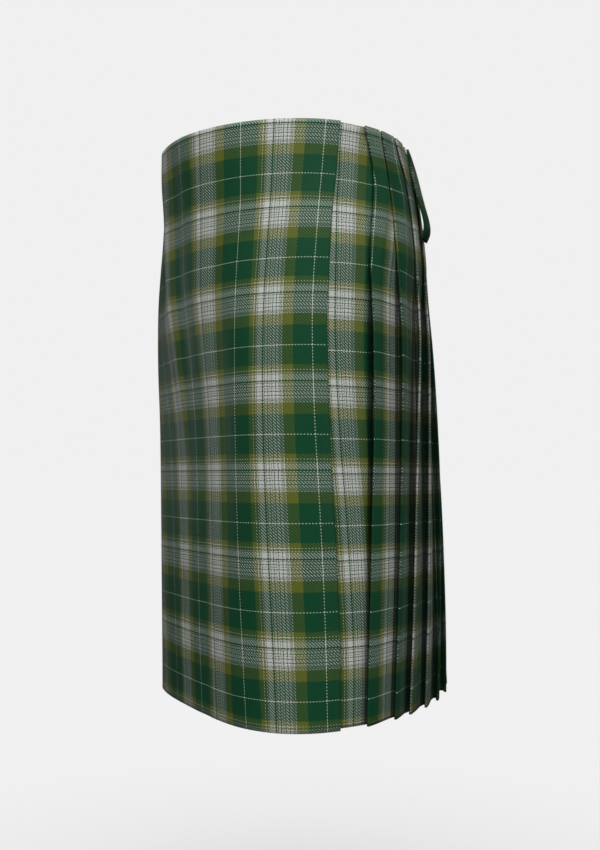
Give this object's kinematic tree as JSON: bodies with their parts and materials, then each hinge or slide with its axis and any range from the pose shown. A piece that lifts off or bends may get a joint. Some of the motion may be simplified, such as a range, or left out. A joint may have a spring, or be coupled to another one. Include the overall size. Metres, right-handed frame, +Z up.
{
  "type": "kilt",
  "caption": "Pleated tartan wrap kilt in its worn hollow shape, flat front apron with a free side edge, stitched-down knife pleats opening towards the hem, and belt loops at the back",
  "frame": {"origin": "middle of the wearer's waist, 45 mm below the kilt's top edge", "axes": "+Z up, -Y towards the kilt's front, +X towards the wearer's left"},
  "size_m": [0.3539, 0.3646, 0.618],
  "materials": {
    "tartan": "matt wool twill"
  },
  "bodies": {
    "root": {"over_apron": "tartan", "under_apron": "tartan", "pleated_back": "tartan", "belt_loop_left": "tartan", "belt_loop_right": "tartan"}
  },
  "joints": []
}
